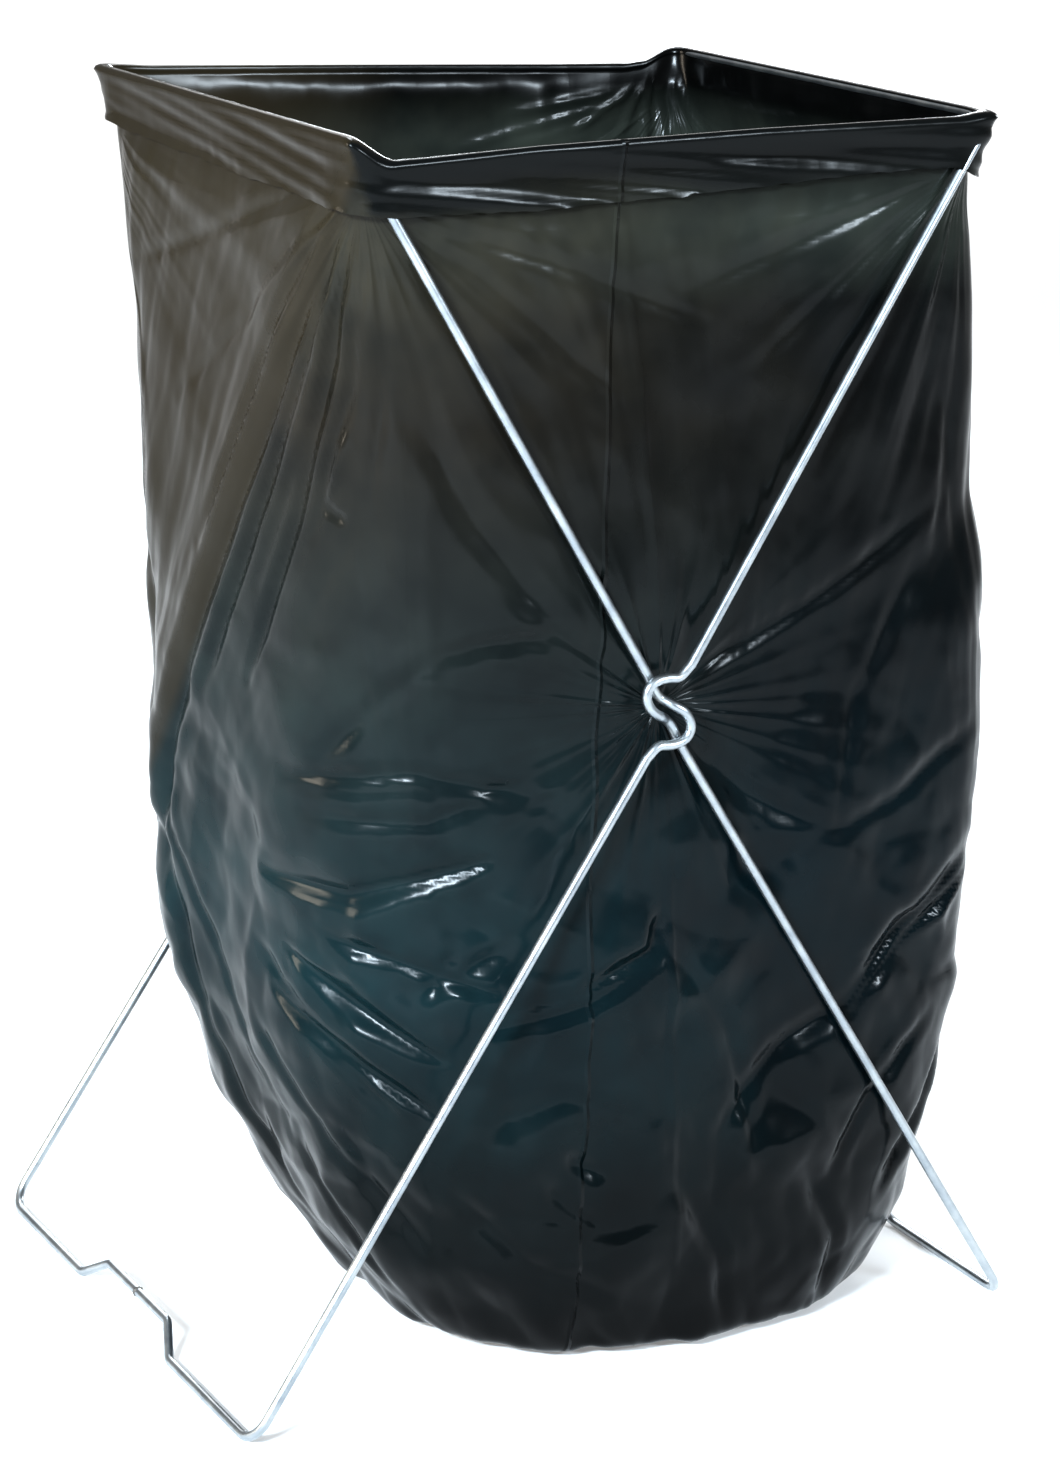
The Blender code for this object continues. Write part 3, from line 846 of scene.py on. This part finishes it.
def film_crests():
    """Folds that fan out from the corners and the clasp, level folds low down, a centre line."""
    below = maths("SUBTRACT", 0.712, z)
    crests = maths("ADD", fan(one_way, below, 0.55, 1.7), fan(other_way, below, 0.42, 5.3))
    crests = maths("ADD", crests, fan(maths("SUBTRACT", z, PIVOT_Z), x, 0.26, 9.1))
    crests = maths("MULTIPLY", crests, maths("MULTIPLY", maths("SUBTRACT", 0.702, z), 60.0, clamp=True))
    low_down = maths("MULTIPLY", maths("SUBTRACT", 0.44, z), 6.0, clamp=True)
    level_folds = cloud(stretch((1.0, 1.0, 3.2), (0.15, -0.12, 0.0)), 6.5, 2.0, "RIDGED_MULTIFRACTAL", 0.3)
    crests = maths("ADD", crests, maths("MULTIPLY", low_down, maths("MULTIPLY", level_folds, 0.6)))
    drift = maths("MULTIPLY", cloud(coords, 7.0, 1.0), 0.008)
    centre_line = maths("ABSOLUTE", maths("ADD", maths("ADD", x, 0.036), drift))
    centre_line = maths("SUBTRACT", 1.0, maths("MULTIPLY", centre_line, 500.0, clamp=True))
    return maths("ADD", crests, maths("MULTIPLY", centre_line, maths("MULTIPLY", y, -2.0, clamp=True)))


shader = tree.nodes["Principled BSDF"]
link(film_colour_and_painted_light(), shader.inputs["Base Color"])
gloss = node(tree, "ShaderNodeMapRange", To_Min=0.13, To_Max=0.28)
link(cloud(coords, 30.0, 3.0), gloss.inputs["Value"])
link(gloss.outputs["Result"], shader.inputs["Roughness"])
shader.inputs["Specular IOR Level"].default_value = 0.075
shader.inputs["IOR"].default_value = 1.5
# relief at three sizes, fine to coarse: strength, depth, pattern
bumped = shader.inputs["Normal"]
for strength, depth, pattern in (
        (0.08, 0.0002, cloud(coords, 420.0, 2.0)),
        (0.16, 0.0012, crinkles(stretch((1.0, 1.0, 0.25), (0.0, 0.25, 0.0)), 60.0, 0.012)),
        (1.0, 0.0042, film_crests())):
    bump = node(tree, "ShaderNodeBump", Strength=strength, Distance=depth)
    link(pattern, bump.inputs["Height"])
    link(bump.outputs["Normal"], bumped)
    bumped = bump.inputs["Normal"]

bag = grid_mesh("film_bag", whole)
bag.data.materials.append(FILM)
for p in bag.data.polygons:
    p.use_smooth = True
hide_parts(*[n for n in CAD if n.startswith("bag_")])
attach(bag, "bag")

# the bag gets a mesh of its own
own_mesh(bag)

# ---- floor, light and camera -------------------------------------------------------
floor_mesh = bpy.data.meshes.new("floor")
floor_mesh.from_pydata([(-14, -14, 0), (14, -14, 0), (14, 14, 0), (-14, 14, 0)], [], [(0, 1, 2, 3)])
floor = bpy.data.objects.new("floor", floor_mesh)
floor.location.z = -0.0002
paper = material("floor_paper", (0.60, 0.60, 0.60), 0.0, 0.9)
paper.node_tree.nodes["Principled BSDF"].inputs["Emission Color"].default_value = (1.0, 1.0, 1.0, 1.0)
paper.node_tree.nodes["Principled BSDF"].inputs["Emission Strength"].default_value = 0.22
floor_mesh.materials.append(paper)
bpy.context.scene.collection.objects.link(floor)

world = bpy.data.worlds.new("studio")
world.use_nodes = True
world.node_tree.nodes["Background"].inputs["Color"].default_value = (0.98, 0.99, 1.0, 1.0)
world.node_tree.nodes["Background"].inputs["Strength"].default_value = 0.31
bpy.context.scene.world = world


def softbox(name, place, aim, size, power, colour=(1.0, 1.0, 1.0)):
    data = bpy.data.lights.new(name, "AREA")
    data.shape = "RECTANGLE"
    data.size, data.size_y = size
    data.energy = power
    data.color = colour
    made = bpy.data.objects.new(name, data)
    made.location = place
    made.rotation_euler = (Vector(aim) - Vector(place)).to_track_quat("-Z", "Y").to_euler()
    bpy.context.scene.collection.objects.link(made)


softbox("key", (-2.40, -1.75, 1.75), (0, 0, 0.3), (0.80, 0.32), 390, (0.74, 0.88, 1.0))
softbox("fill", (1.2, -2.6, 1.5), (0, 0, 0.35), (0.50, 0.30), 95, (0.78, 0.90, 1.0))
softbox("side", (-2.7, 0.7, 0.95), (-0.2, 0, 0.45), (0.35, 1.2), 46, (1.0, 0.88, 0.72))
softbox("right", (2.7, 0.5, 1.1), (0.2, 0, 0.4), (0.35, 1.0), 34, (0.88, 0.95, 1.0))
softbox("behind", (1.5, 2.5, 1.2), (0, 0.2, 0.4), (0.9, 0.35), 30, (0.88, 0.95, 1.0))
softbox("top", (0.5, 1.3, 2.6), (0, 0, 0.5), (0.8, 0.8), 50, (0.88, 0.95, 1.0))
softbox("far floor", (3.0, 7.0, 4.5), (2.6, 6.6, 0.0), (5.0, 5.0), 420)

camera_data = bpy.data.cameras.new("camera")
camera_data.sensor_fit = "VERTICAL"
camera_data.sensor_height = 36.0
camera_data.lens = 93.0
camera_data.shift_x = 0.0816
camera_data.shift_y = 0.0272
camera_data.clip_end = 100
camera = bpy.data.objects.new("camera", camera_data)
bpy.context.scene.collection.objects.link(camera)
camera.location = (-1.0779, -1.9925, 1.0002)
aim = Vector((0.4317, 0.8541, -0.2903)).to_track_quat("-Z", "Y").to_matrix()
camera.rotation_euler = (aim @ Matrix.Rotation(radians(1.32), 3, "Z")).to_euler()
bpy.context.scene.camera = camera
bpy.context.scene.view_settings.view_transform = "Standard"
